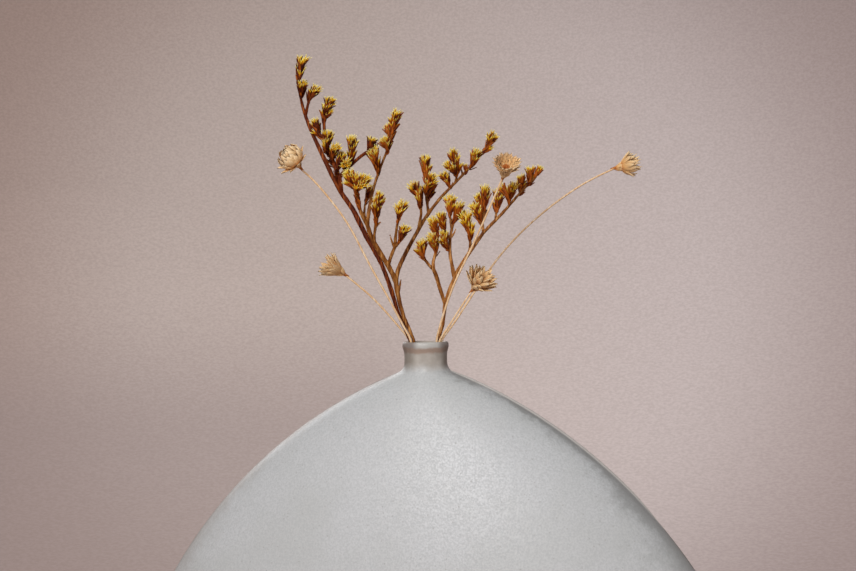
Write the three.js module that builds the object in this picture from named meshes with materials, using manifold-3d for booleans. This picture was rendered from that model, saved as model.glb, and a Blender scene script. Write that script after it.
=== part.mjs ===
// A flattened stoneware bottle vase holding three sprigs of dried statice and
// five dried straw flowers. Millimetres, +Z up. The origin is the middle of the
// vase's foot, and the vase's width runs along X.

import * as THREE from 'three';
import { mergeVertices } from 'three/addons/utils/BufferGeometryUtils.js';
import Module from 'manifold-3d';

const wasm = await Module();
wasm.setup();

// ---------------------------------------------------------------- dimensions

const VASE_HEIGHT = 290;
const WALL = 5;
const FLOOR_THICKNESS = 6;
const VASE_HALF_DEPTH = 45;
const VASE_SECTORS = 40;

// The front outline is two arcs that meet without a corner: a long shoulder arc
// centred across the axis, and a tighter belly arc that runs down to the foot.
const SHOULDER_RADIUS = 235;
const SHOULDER_CENTRE_X = -73;
const SHOULDER_CENTRE_Z = 57;
const BELLY_RADIUS = 115;
const MEETING_ANGLE = THREE.MathUtils.degToRad(25);

const NECK_RADIUS = 9.9;
const NECK_FILLET = 5;
const LIP_RADIUS = 10.75;
const LIP_HEIGHT = 4.7;
const LIP_ROUNDING = 1;
const BORE_RADIUS = 8;
const BORE_FLARE = 1.3;
const THROAT_EASE = 2;

// The raised seam on each narrow side. Along the way from neck to widest point it rises
// over the first pair of shares, and the right one dies away again over the second pair.
const LEFT_RIDGE_HEIGHT = 0.3;
const RIGHT_RIDGE_HEIGHT = 1.3;
const RIDGE_RISE = [0, 0.06];
const RIGHT_RIDGE_FALL = [0.6, 0.72];

// The bunch stands in the neck, turned about the vase's axis.
const BUNCH_TURN = THREE.MathUtils.degToRad(15.3);
const STEM_SIDES = 6;
const STEM_STEPS_PER_SPAN = 2;
const TWIG_SIDES = 5;
const TWIG_STEPS_PER_SPAN = 1.5;
const SPIKELET_SIDES = 6;
const TOUCHING_GAP = 0.8;

const STRAW_STEM_RADII = [0.6, 0.5];
const STRAW_HEAD_TEETH = 8;
const TOOTH_DEPTH = 0.16;

// ----------------------------------------------------------------- materials

const glaze = new THREE.MeshStandardMaterial({ color: 0xb9bab6, roughness: 0.5, metalness: 0 });
const driedWood = new THREE.MeshStandardMaterial({ color: 0x5e2f12, roughness: 0.8, metalness: 0 });
const statice = new THREE.MeshStandardMaterial({ color: 0xa8761c, roughness: 0.85, metalness: 0 });
const strawStem = new THREE.MeshStandardMaterial({ color: 0xc49a68, roughness: 0.7, metalness: 0 });
const strawPetal = new THREE.MeshStandardMaterial({ color: 0xdcbb92, roughness: 0.6, metalness: 0 });

// ------------------------------------------------------------------- helpers

const vector = ([x, y, z]) => new THREE.Vector3(x, y, z);

// A smooth curve whose steps are shared out evenly between its given points, so
// that it is sampled closely where those points lie close together.
class SmoothPath extends THREE.CatmullRomCurve3 {
  constructor(points) {
    super(points.map(vector), false, 'centripetal');
  }

  getUtoTmapping(u) {
    return u;
  }
}

// A closed round bar that follows a curve and tapers from one radius to another.
function taperedBar(points, [startRadius, endRadius], sides, stepsPerSpan) {
  const curve = new SmoothPath(points);
  const steps = Math.ceil(stepsPerSpan * (points.length - 1));
  const frames = curve.computeFrenetFrames(steps);
  const bar = new THREE.CylinderGeometry(1, 1, 1, sides, steps);
  const position = bar.attributes.position;
  for (let i = 0; i < position.count; i += 1) {
    const along = position.getY(i) + 0.5;
    const ring = Math.round(along * steps);
    const radius = THREE.MathUtils.lerp(startRadius, endRadius, along);
    const point = curve.getPointAt(THREE.MathUtils.clamp(along, 0, 1));
    point.addScaledVector(frames.normals[ring], position.getX(i) * radius);
    point.addScaledVector(frames.binormals[ring], -position.getZ(i) * radius);
    position.setXYZ(i, point.x, point.y, point.z);
  }
  return bar;
}

function solidFrom(geometry) {
  const bare = geometry.clone();
  bare.deleteAttribute('normal');
  bare.deleteAttribute('uv');
  const welded = mergeVertices(bare);
  return new wasm.Manifold(new wasm.Mesh({
    numProp: 3,
    vertProperties: new Float32Array(welded.attributes.position.array),
    triVerts: new Uint32Array(welded.index.array),
  }));
}

function geometryFrom(solid) {
  const { vertProperties, triVerts } = solid.getMesh();
  const geometry = new THREE.BufferGeometry();
  geometry.setAttribute('position', new THREE.BufferAttribute(vertProperties, 3));
  geometry.setIndex(new THREE.BufferAttribute(triVerts, 1));
  geometry.computeVertexNormals();
  return geometry;
}

function joined(geometries) {
  const [first, ...rest] = geometries.map(solidFrom);
  return geometryFrom(rest.reduce((whole, piece) => whole.add(piece), first));
}

function namedMesh(name, geometry, material) {
  const mesh = new THREE.Mesh(geometry, material);
  mesh.name = name;
  return mesh;
}

// ---------------------------------------------------------------------- vase

// Points on an arc, with angles measured up from the direction away from the axis.
function arc(centreX, centreZ, radius, fromAngle, toAngle, steps) {
  const points = [];
  for (let i = 0; i <= steps; i += 1) {
    const angle = THREE.MathUtils.lerp(fromAngle, toAngle, i / steps);
    const x = centreX + radius * Math.cos(angle);
    points.push(new THREE.Vector2(x, centreZ + radius * Math.sin(angle)));
  }
  return points;
}

const BELLY_CENTRE_X = SHOULDER_CENTRE_X + (SHOULDER_RADIUS - BELLY_RADIUS) * Math.cos(MEETING_ANGLE);
const BELLY_CENTRE_Z = SHOULDER_CENTRE_Z + (SHOULDER_RADIUS - BELLY_RADIUS) * Math.sin(MEETING_ANGLE);
const VASE_HALF_WIDTH = BELLY_CENTRE_X + BELLY_RADIUS;

// The angle on an arc at which it reaches a height.
const angleAtHeight = (height, centreZ, radius) => Math.asin((height - centreZ) / radius);

function outsideOutline() {
  const footAngle = angleAtHeight(0, BELLY_CENTRE_Z, BELLY_RADIUS);
  const filletX = NECK_RADIUS + NECK_FILLET;
  const filletAngle = Math.acos((filletX - SHOULDER_CENTRE_X) / (SHOULDER_RADIUS + NECK_FILLET));
  const filletZ = SHOULDER_CENTRE_Z + (SHOULDER_RADIUS + NECK_FILLET) * Math.sin(filletAngle);
  const fillet = arc(filletX, filletZ, NECK_FILLET, filletAngle + Math.PI, Math.PI, 3);
  const lipTop = arc(
    LIP_RADIUS - LIP_ROUNDING, VASE_HEIGHT - LIP_ROUNDING, LIP_ROUNDING, 0, Math.PI / 2, 2);
  return [
    new THREE.Vector2(0, 0),
    ...arc(BELLY_CENTRE_X, BELLY_CENTRE_Z, BELLY_RADIUS, footAngle, MEETING_ANGLE, 10),
    ...arc(SHOULDER_CENTRE_X, SHOULDER_CENTRE_Z, SHOULDER_RADIUS, MEETING_ANGLE, filletAngle, 8).slice(1, -1),
    ...fillet,
    new THREE.Vector2(NECK_RADIUS, VASE_HEIGHT - LIP_HEIGHT),
    ...lipTop,
  ];
}

function insideOutline() {
  const shoulderRadius = SHOULDER_RADIUS - WALL;
  const bellyRadius = BELLY_RADIUS - WALL;
  const throatX = BORE_RADIUS + THROAT_EASE;
  const throatAngle = Math.acos((throatX - SHOULDER_CENTRE_X) / shoulderRadius);
  const throatZ = SHOULDER_CENTRE_Z + shoulderRadius * Math.sin(throatAngle);
  const floorAngle = angleAtHeight(FLOOR_THICKNESS, BELLY_CENTRE_Z, bellyRadius);
  return [
    new THREE.Vector2(BORE_RADIUS + BORE_FLARE, VASE_HEIGHT),
    new THREE.Vector2(BORE_RADIUS, VASE_HEIGHT - 2 * BORE_FLARE),
    new THREE.Vector2(BORE_RADIUS, throatZ + THROAT_EASE),
    ...arc(SHOULDER_CENTRE_X, SHOULDER_CENTRE_Z, shoulderRadius, throatAngle, MEETING_ANGLE, 6),
    ...arc(BELLY_CENTRE_X, BELLY_CENTRE_Z, bellyRadius, MEETING_ANGLE, floorAngle, 8).slice(1),
    new THREE.Vector2(0, FLOOR_THICKNESS),
  ];
}

// The neck is round, and the body's depth grows in step with its width.
function depthFor(halfWidth, neckRadius, fullWidth, fullDepth) {
  if (halfWidth <= neckRadius) return halfWidth;
  const spread = (halfWidth - neckRadius) / (fullWidth - neckRadius);
  return neckRadius + spread * (fullDepth - neckRadius);
}

// How far the seam stands out from the side at a share of the way to the widest point.
function ridgeAt(spread, onRight) {
  const rise = THREE.MathUtils.smoothstep(spread, ...RIDGE_RISE);
  if (!onRight) return LEFT_RIDGE_HEIGHT * rise;
  return RIGHT_RIDGE_HEIGHT * rise * (1 - THREE.MathUtils.smoothstep(spread, ...RIGHT_RIDGE_FALL));
}

function vaseGeometry() {
  const outside = outsideOutline();
  const inside = insideOutline();
  const outline = [...outside, ...inside];
  const geometry = new THREE.LatheGeometry(outline, VASE_SECTORS);
  geometry.rotateX(Math.PI / 2);
  const position = geometry.attributes.position;
  for (let i = 0; i < position.count; i += 1) {
    const row = i % outline.length;
    const halfWidth = outline[row].x;
    if (halfWidth > 0) {
      const isOutside = row < outside.length;
      const neckRadius = isOutside ? Math.min(NECK_RADIUS, halfWidth) : BORE_RADIUS;
      const inset = isOutside ? 0 : WALL;
      const round = isOutside && outline[row].y > VASE_HEIGHT - LIP_HEIGHT;
      const halfDepth = round ? halfWidth
        : depthFor(halfWidth, neckRadius, VASE_HALF_WIDTH - inset, VASE_HALF_DEPTH - inset);
      const onRidge = isOutside && Math.abs(position.getY(i)) < 1e-6 * halfWidth;
      const spread = (halfWidth - NECK_RADIUS) / (VASE_HALF_WIDTH - NECK_RADIUS);
      const ridge = onRidge ? ridgeAt(spread, position.getX(i) > 0) : 0;
      position.setX(i, position.getX(i) * (1 + ridge / halfWidth));
      position.setY(i, position.getY(i) * (halfDepth / halfWidth));
    }
  }
  return geometry;
}

// ------------------------------------------------------------------- the bunch
// Points in the bunch are [across, back, up], in millimetres from the middle of
// the vase's rim. Below the rim the stems lean together in the neck, cross in the
// back half of the vase and end just above its floor.

// Each straw flower's head opens in a direction of its own, to its own length and radius.
const STRAW_FLOWERS = [
  {
    inside: [[16, -0.2, -281], [-0.6, 3, -85], [-5.2, -3, -29], [-6, -3.2, -8]],
    above: [[-6.8, -3.3, 1], [-9.4, -4.1, 6], [-16.2, -6.5, 19.5], [-25.7, -9.6, 37],
      [-34.1, -12.6, 54], [-43.8, -15.2, 67.5], [-50.3, -16.8, 75], [-54.6, -17.6, 78.8]],
    opens: [-0.5, -0.4, 0.77],
    length: 9.5,
    radius: 7,
  },
  {
    inside: [[10, 14, -281], [-0.8, 9.3, -85], [-5, 3.6, -29], [-5.4, 3.4, -8]],
    above: [[-7.4, 2.7, 0.5], [-11.9, 1.6, 6.5], [-19, -0.9, 15], [-26, -3, 22.4], [-36.9, -6, 31.7]],
    opens: [-0.76, -0.35, 0.55],
    length: 9.8,
    radius: 6.6,
  },
  {
    inside: [[-16, 14.7, -281], [-1.5, 13.9, -85], [4.4, -1.6, -29], [4.8, -1.8, -8]],
    above: [[5.2, -2, 1], [6.4, -3.5, 5.7], [9.1, -6.3, 14.7], [13.9, -10.4, 27.5],
      [20.8, -15, 41.2], [29.5, -21.4, 60], [35.6, -26, 73.5]],
    opens: [0.28, -0.52, 0.8],
    length: 9.4,
    radius: 6.8,
  },
  {
    inside: [[-12, 9.5, -281], [0.5, 11.5, -85], [5.2, -3.6, -29], [5.3, -3.6, -8]],
    above: [[6.5, -3.5, 0.5], [8.4, -5, 3.5], [12.1, -7.3, 9], [16.9, -10.6, 16.5], [22, -14, 24]],
    opens: [0.6, -0.45, 0.66],
    length: 7.5,
    radius: 8.4,
  },
  {
    inside: [[-5, 19.5, -281], [3.5, 18.4, -85], [5.4, 3.4, -29], [5.5, 2.9, -8]],
    above: [[7.2, 2.4, 0], [12.5, 4.4, 6.8], [23.6, 9.7, 23], [36.9, 15.6, 41],
      [54.7, 22.1, 58.2], [77.3, 29.1, 74.1], [94, 34, 82]],
    opens: [0.95, 0.1, 0.22],
    length: 9.8,
    radius: 6.6,
  },
];

// Each sprig has a stem, side twigs, and the spikelets at their ends.
const STATICE = {
  left: {
    stem: {
      inside: [[13, 8.9, -281], [-0.6, 6.6, -85], [-5.6, 1.2, -29], [-6, 0.8, -8]],
      above: [[-7.3, 0.4, 0.7], [-11.9, 1.4, 11.4], [-15.5, 2.6, 23.6], [-20, 3.8, 36.2], [-27.1, 5.1, 49.4],
        [-33, 6.3, 61.9], [-38.8, 7.3, 70.5], [-47.4, 9, 88.4], [-54.5, 10.6, 105], [-57.4, 11.6, 116],
        [-58.2, 12, 123.4]],
      radii: [0.95, 0.5],
    },
    twigs: [
      { points: [[-55, 10.7, 107], [-53.9, 9.7, 111], [-52.9, 9, 114.4]], radii: [0.55, 0.45] },
      { points: [[-38.6, 7.2, 70.5], [-38.9, 6.2, 75], [-41.1, 5.7, 82.4], [-44, 5.2, 90], [-46, 4.6, 98.7],
        [-45.1, 4, 107.5]], radii: [0.75, 0.45] },
      { points: [[-39.1, 6, 77], [-36.9, 4.6, 79.6], [-32.1, 2.6, 83.8], [-27, 0.7, 87.6], [-25.1, 0, 88.3]],
        radii: [0.5, 0.4] },
      { points: [[-36.2, 4.1, 80.3], [-34.4, 2.3, 82.2], [-33.4, 1.5, 84.5]], radii: [0.4, 0.35] },
      { points: [[-45.7, 4.7, 95], [-47.6, 5.2, 96.4], [-48.4, 5.5, 97.4]], radii: [0.4, 0.35] },
      { points: [[-43.2, 5.3, 88], [-44.4, 3.5, 88.8], [-44.8, 2.5, 89.5]], radii: [0.4, 0.35] },
      { points: [[-41.6, 5.6, 83.8], [-42.3, 4.4, 85], [-42.6, 3.5, 85.8]], radii: [0.4, 0.35] },
      { points: [[-39.8, 6, 79], [-40, 5, 80.4], [-39.9, 4.5, 81.2]], radii: [0.45, 0.35] },
      { points: [[-56.2, 11.2, 111.4], [-56.9, 10.2, 114], [-56.9, 9.5, 115.7]], radii: [0.45, 0.35] },
    ],
    spikelets: [
      { base: [-58.2, 12, 123.7], tip: [-55.9, 12, 134.6], radius: 2.4 },
      { base: [-56.9, 9.5, 115.8], tip: [-55.4, 6.5, 122], radius: 2.5 },
      { base: [-52.9, 9, 114.5], tip: [-49.6, 8, 120], radius: 2.9 },
      { base: [-45.1, 4, 107.7], tip: [-42.1, 3, 113.6], radius: 2.9 },
      { base: [-48.4, 5.5, 97.4], tip: [-50.4, 6.6, 104.3], radius: 2.4 },
      { base: [-44.8, 2.5, 89.6], tip: [-43.4, -0.4, 98], radius: 2.6 },
      { base: [-42.6, 3.5, 85.9], tip: [-39.4, 0.6, 91.5], radius: 2.5 },
      { base: [-39.9, 4.5, 81.3], tip: [-36.8, 5.4, 88.4], radius: 2.5 },
      { base: [-36.1, 3, 80], tip: [-35.4, -2.6, 83.6], radius: 2.6 },
      { base: [-33.4, 1.5, 84.7], tip: [-32.2, 0, 95.7], radius: 2.4 },
      { base: [-25.1, 0, 88.4], tip: [-22.9, -1, 94.5], radius: 2.6 },
    ],
  },
  middle: {
    stem: {
      inside: [[19, 4.1, -281], [2.2, 5, -85], [-4.2, -0.6, -29], [-4.6, -0.8, -8]],
      above: [[-5.5, -0.9, 0.8], [-10, -0.5, 11.5], [-12.5, -0.2, 22], [-13.3, 0, 28.2],
        [-12.1, 1.2, 33.7], [-8.5, 2.9, 41.4], [-4.4, 4.7, 48.8], [-0.1, 6.5, 56.3], [7.3, 9, 66.2],
        [13.5, 10.8, 72.6], [19.3, 12.5, 78.5], [24.6, 14, 84], [31, 16, 91.5]],
      radii: [1, 0.5],
    },
    twigs: [
      { points: [[-13.2, 0, 27.4], [-15.3, -0.5, 32.8], [-20.2, -1.5, 41], [-24.7, -2.5, 49.6],
        [-26, -3, 54.2]], radii: [0.95, 0.8] },
      { points: [[-26, -3, 54], [-28.4, -4.1, 59], [-29.9, -5.1, 63.4], [-31, -7, 72]], radii: [0.75, 0.5] },
      { points: [[-26, -3, 54], [-25.5, -2.4, 59.3], [-23.8, -1.2, 68.6], [-20.9, 0, 77.9], [-17.8, 1, 85.8],
        [-15.2, 2, 93.3], [-13.4, 3, 100.6]], radii: [0.75, 0.45] },
      { points: [[-26.9, -3.4, 56], [-27.5, -1.9, 61.2], [-25.9, 1, 67.6]], radii: [0.45, 0.35] },
      { points: [[-22.9, -2.1, 45.5], [-22.9, -4, 48.6], [-22.4, -5.7, 52.2], [-21.6, -9.4, 58.5]],
        radii: [0.55, 0.45] },
      { points: [[-16.8, -0.8, 35.3], [-15.2, -2.8, 40.2], [-13.5, -4.4, 43.8], [-12.8, -7.2, 50.6],
        [-11.4, -10, 56.9]], radii: [0.6, 0.45] },
      { points: [[-13.6, -4.3, 43.6], [-12, -6.4, 45.2], [-11, -8, 46.7]], radii: [0.45, 0.35] },
      { points: [[-22.2, -6.2, 53], [-20.8, -6.6, 54.6], [-19.6, -7, 55.4]], radii: [0.45, 0.15] },
      { points: [[-13.5, -4.2, 43.2], [-14.8, -4.6, 46.4], [-15.6, -5, 49.4]], radii: [0.45, 0.15] },
      { points: [[-12.6, -0.2, 22.6], [-11.6, -0.6, 25.4], [-11, -0.9, 29]], radii: [0.6, 0.15] },
      { points: [[-2.6, 5.4, 51.9], [-1.8, 4.6, 56], [-1.1, 3.1, 60.1], [-1.5, 2, 63.4]],
        radii: [0.6, 0.45] },
      { points: [[2.3, 7.6, 59.6], [1.8, 8.4, 63.7], [1.2, 8.8, 67.5], [1.1, 10, 77.6]], radii: [0.6, 0.45] },
      { points: [[1.4, 8.7, 66], [1.3, 7.6, 69.6], [1.7, 7, 71.4]], radii: [0.45, 0.35] },
      { points: [[1.8, 8.4, 63.7], [2.2, 10.4, 65.8], [2.4, 12, 67.4]], radii: [0.45, 0.35] },
      { points: [[12.5, 10.6, 71.6], [11.9, 10.2, 72.4], [11.8, 10, 73.1]], radii: [0.45, 0.35] },
      { points: [[15, 11.3, 74.2], [15.8, 10.6, 77.6], [15.5, 10, 80.3]], radii: [0.55, 0.4] },
      { points: [[15.7, 10.8, 76.4], [15.1, 9, 77.6], [14.7, 8, 78.3]], radii: [0.4, 0.35] },
      { points: [[21.5, 13.1, 80.6], [22.3, 12.4, 80.9], [22.9, 12, 81.3]], radii: [0.45, 0.35] },
      { points: [[-16.9, 1.3, 87.8], [-16.4, 0.5, 88], [-16.1, 0, 88.3]], radii: [0.4, 0.35] },
      { points: [[-16, 1.6, 91.4], [-15.4, 3.6, 92.4], [-15, 5, 93.4]], radii: [0.4, 0.35] },
      { points: [[-20.9, 0, 77.9], [-21.3, -1.2, 79.2], [-21.2, -2, 80.3]], radii: [0.4, 0.35] },
      { points: [[-30.3, -6, 67.4], [-30.4, -7.2, 69], [-30.3, -8, 70]], radii: [0.4, 0.35] },
      { points: [[18.6, 12.3, 77.8], [18.3, 12.1, 79.6], [17.6, 12, 81.4]], radii: [0.5, 0.2] },
    ],
    spikelets: [
      { base: [-31.1, -7.1, 72.4], tip: [-33.4, -8.2, 79.6], radius: 2.8 },
      { base: [-30, -8.4, 70.2], tip: [-25.6, -10.6, 76], radius: 3.2 },
      { base: [-25.9, 1, 67.8], tip: [-24.8, 3.4, 72], radius: 1.6 },
      { base: [-21.2, -2, 80.5], tip: [-23.4, -4.6, 89.1], radius: 2.7 },
      { base: [-16.1, 0, 88.5], tip: [-18.4, -2.6, 94.3], radius: 2.2 },
      { base: [-15, 5, 93.6], tip: [-16.2, 7.6, 100.9], radius: 2.4 },
      { base: [-13.4, 3, 100.8], tip: [-11.7, 3, 107.8], radius: 2.8 },
      { base: [-21.6, -9.5, 58.7], tip: [-20, -10, 68.7], radius: 3 },
      { base: [-11.4, -10, 57.1], tip: [-9.6, -10, 64.4], radius: 3.2 },
      { base: [-11, -8, 46.9], tip: [-8.1, -9.5, 53], radius: 2.4 },
      { base: [-1.5, 2, 63.6], tip: [-4.5, 1, 73.6], radius: 3.1 },
      { base: [1.1, 10, 77.9], tip: [1.7, 10, 86.8], radius: 2.9 },
      { base: [1.7, 7, 71.6], tip: [5.1, 4, 77.1], radius: 2.8 },
      { base: [2.4, 12, 67.6], tip: [5.1, 14, 74.3], radius: 2.8 },
      { base: [11.8, 10, 73.3], tip: [9.6, 9, 78.4], radius: 2.5 },
      { base: [15.5, 10, 80.5], tip: [14.4, 9, 89.4], radius: 2.8 },
      { base: [14.7, 8, 78.5], tip: [10.6, 5.4, 82.4], radius: 2.2 },
      { base: [22.9, 12, 81.5], tip: [25, 9.6, 89.3], radius: 2.4 },
      { base: [31, 16, 91.7], tip: [33.8, 16, 97.4], radius: 3 },
    ],
  },
  right: {
    stem: {
      inside: [[-9, 17, -281], [1.5, 15.6, -85], [4.8, 0.9, -29], [5.2, 0.9, -8]],
      above: [[5.9, 0.8, 0.5], [8.2, 0.1, 7.9], [9.2, -0.7, 16.3], [11.4, -1.7, 23.4], [15.5, -3.2, 32.6],
        [21.5, -4.9, 41.9], [27.6, -6.5, 50.1], [35.9, -8.3, 58.3], [43.9, -10.2, 67.3], [51.7, -12, 75]],
      radii: [0.95, 0.45],
    },
    twigs: [
      { points: [[9.3, -0.8, 17.4], [7.7, -2.1, 22.1], [5.7, -3.9, 29.3], [4.2, -5, 33.4]],
        radii: [0.75, 0.6] },
      { points: [[4.2, -5, 33.2], [2.1, -6.1, 35.3], [0.6, -7.1, 37.4], [-0.6, -8, 39]], radii: [0.5, 0.4] },
      { points: [[4.2, -5, 33.2], [4.1, -4.4, 36.7], [4.7, -4.3, 39], [5.4, -4.5, 41.5]],
        radii: [0.55, 0.4] },
      { points: [[4.5, -4.4, 38.4], [6.4, -1.6, 44.1], [6.3, 0.1, 47.8], [6.1, 1, 49.5]],
        radii: [0.4, 0.35] },
      { points: [[13.8, -2.6, 29], [13, -1.8, 33.8], [11.9, -0.6, 40.3], [12, 0.5, 46.8], [12.6, 1.2, 50.6],
        [14, 2, 55.7]], radii: [0.65, 0.4] },
      { points: [[11.8, -0.2, 42], [11.2, -1.1, 42.6], [10.4, -2.1, 43]], radii: [0.4, 0.35] },
      { points: [[12, 0.5, 46.8], [10.8, -2, 49.4], [9.1, -4, 52.1]], radii: [0.4, 0.35] },
      { points: [[13, 1.4, 52.4], [12.4, 2.4, 56.4], [12.5, 3, 59.7]], radii: [0.45, 0.35] },
      { points: [[12.2, 0.7, 47.8], [13.8, 0.6, 49.6], [14.8, 0.6, 52]], radii: [0.4, 0.15] },
      { points: [[20.9, -4.7, 40.9], [21.2, -6.6, 44.2], [21.1, -9, 47.8]], radii: [0.5, 0.4] },
      { points: [[27.4, -6.4, 49.8], [27, -4.7, 53.8], [26.9, -3, 57.6]], radii: [0.55, 0.4] },
      { points: [[27.2, -5.6, 51.8], [26.2, -6.3, 54], [25.6, -6.5, 55.9]], radii: [0.4, 0.35] },
      { points: [[26.9, -4.4, 54.6], [27.8, -5.4, 58.4], [28, -6, 61.8]], radii: [0.4, 0.35] },
      { points: [[32.9, -7.7, 55], [33.3, -5.5, 58.6], [33.6, -4, 60.7]], radii: [0.5, 0.4] },
      { points: [[39.3, -9.1, 61.9], [39.2, -9.2, 63.8], [38.9, -9, 65.4]], radii: [0.45, 0.4] },
      { points: [[43.4, -10.1, 66.7], [44.1, -9.9, 67.6], [44.4, -9.6, 68.4]], radii: [0.4, 0.35] },
      { points: [[47.6, -11, 71], [48.2, -10.8, 71.7], [48.6, -10.6, 72.4]], radii: [0.4, 0.35] },
    ],
    spikelets: [
      { base: [-0.6, -8, 39.2], tip: [-1.6, -9, 46.7], radius: 2.6 },
      { base: [5.4, -4.5, 41.7], tip: [2.6, -7.4, 49.5], radius: 2.6 },
      { base: [6.1, 1, 49.7], tip: [3.1, 0, 56.7], radius: 2.6 },
      { base: [10.4, -2.1, 43.2], tip: [8.6, -5.6, 50.4], radius: 1.9 },
      { base: [9.1, -4, 52.3], tip: [8.2, -5.6, 59.1], radius: 2.5 },
      { base: [12.5, 3, 59.9], tip: [12.3, 5, 67.2], radius: 3.3 },
      { base: [14.1, 2, 55.9], tip: [17.6, -0.6, 63.9], radius: 2.4 },
      { base: [21.1, -9, 48], tip: [19.1, -10, 58.7], radius: 3.3 },
      { base: [26.9, -3, 57.8], tip: [25.7, -1, 67.8], radius: 2.7 },
      { base: [25.6, -6.5, 56.1], tip: [22.4, -7.2, 62.4], radius: 2.4 },
      { base: [28, -6, 62], tip: [29, -8, 71], radius: 2.1 },
      { base: [33.6, -4, 60.9], tip: [34.9, -2.4, 68.5], radius: 2.7 },
      { base: [38.9, -9, 65.6], tip: [35.8, -7.2, 70.9], radius: 2 },
      { base: [39.4, -9.4, 64.8], tip: [41.4, -12.4, 71.6], radius: 2 },
      { base: [44.4, -9.6, 68.6], tip: [45.4, -7.6, 75.6], radius: 2.3 },
      { base: [48.6, -10.6, 72.6], tip: [49.4, -9, 78.9], radius: 2.2 },
    ],
  },
};

// A closed vessel of revolution set on a base point and pointing along a direction.
function blossom(profile, sectors, base, direction) {
  const geometry = new THREE.LatheGeometry(profile.map(([r, h]) => new THREE.Vector2(r, h)), sectors);
  const turn = new THREE.Quaternion();
  turn.setFromUnitVectors(new THREE.Vector3(0, 1, 0), direction.clone().normalize());
  geometry.applyQuaternion(turn);
  geometry.translate(base.x, base.y, base.z);
  return geometry;
}

// A spikelet is a packed cluster of bracts and calyxes, wider towards its mouth.
function spikeletGeometry({ base, tip, radius }) {
  const start = vector(base);
  const direction = vector(tip).sub(start);
  const length = direction.length() - TOUCHING_GAP;
  direction.normalize();
  start.addScaledVector(direction, TOUCHING_GAP);
  const profile = [
    [0, 0],
    [0.28 * radius, 0.04 * length],
    [0.72 * radius, 0.4 * length],
    [radius, 0.88 * length],
    [0.6 * radius, length],
    [0, 0.9 * length],
  ];
  return blossom(profile, SPIKELET_SIDES, start, direction);
}

// A straw flower's head is a cup of papery bracts with a pointed edge round a low disc.
function strawHeadGeometry(stemTop, { opens, length, radius }) {
  const direction = vector(opens).normalize();
  const base = stemTop.clone().addScaledVector(direction, TOUCHING_GAP);
  const profile = [
    [0, 0],
    [0.15 * radius, 0.02 * length],
    [0.34 * radius, 0.15 * length],
    [0.48 * radius, 0.36 * length],
    [0.75 * radius, 0.68 * length],
    [radius, length],
    [0.62 * radius, 0.66 * length],
    [0.36 * radius, 0.44 * length],
    [0, 0.5 * length],
  ];
  const edgeRow = profile.findIndex(([r]) => r === radius);
  const sectors = 2 * STRAW_HEAD_TEETH;
  const geometry = blossom(profile, sectors, new THREE.Vector3(), new THREE.Vector3(0, 1, 0));
  const position = geometry.attributes.position;
  for (let i = 0; i < position.count; i += 1) {
    const row = i % profile.length;
    const sector = Math.floor(i / profile.length);
    if (row === edgeRow && sector % 2 === 1) {
      const notch = new THREE.Vector3().fromBufferAttribute(position, i).multiplyScalar(1 - TOOTH_DEPTH);
      position.setXYZ(i, notch.x, notch.y, notch.z);
    }
  }
  const turn = new THREE.Quaternion();
  turn.setFromUnitVectors(new THREE.Vector3(0, 1, 0), direction);
  geometry.applyQuaternion(turn);
  geometry.translate(base.x, base.y, base.z);
  return geometry;
}

function stemBar({ inside, above, radii }) {
  return taperedBar([...inside, ...above], radii, STEM_SIDES, STEM_STEPS_PER_SPAN);
}

function twigBar({ points, radii }) {
  return taperedBar(points, radii, TWIG_SIDES, TWIG_STEPS_PER_SPAN);
}

function strawFlowerMeshes(flower, number) {
  const stem = stemBar({ ...flower, radii: STRAW_STEM_RADII });
  const stemTop = vector(flower.above.at(-1));
  const name = `straw_flower_${number}`;
  return [
    namedMesh(`${name}_stem`, stem, strawStem),
    namedMesh(`${name}_head`, strawHeadGeometry(stemTop, flower), strawPetal),
  ];
}

function staticeMeshes(side, { stem, twigs, spikelets }) {
  const branch = joined([stemBar(stem), ...twigs.map(twigBar)]);
  const meshes = [namedMesh(`statice_${side}_branch`, branch, driedWood)];
  spikelets.forEach((spikelet, index) => {
    const name = `statice_${side}_spikelet_${String(index + 1).padStart(2, '0')}`;
    meshes.push(namedMesh(name, spikeletGeometry(spikelet), statice));
  });
  return meshes;
}

// ------------------------------------------------------------------- assembly

const bunch = new THREE.Group();
bunch.position.z = VASE_HEIGHT;
bunch.rotation.z = BUNCH_TURN;
STRAW_FLOWERS.forEach((flower, index) => bunch.add(...strawFlowerMeshes(flower, index + 1)));
Object.entries(STATICE).forEach(([side, sprig]) => bunch.add(...staticeMeshes(side, sprig)));

const driedFlowers = new THREE.Group();
driedFlowers.add(namedMesh('vase', vaseGeometry(), glaze));
driedFlowers.add(bunch);

export default driedFlowers;
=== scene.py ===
import math
import random

import bmesh
import bpy
from mathutils import Matrix, Vector
from mathutils.kdtree import KDTree


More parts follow.
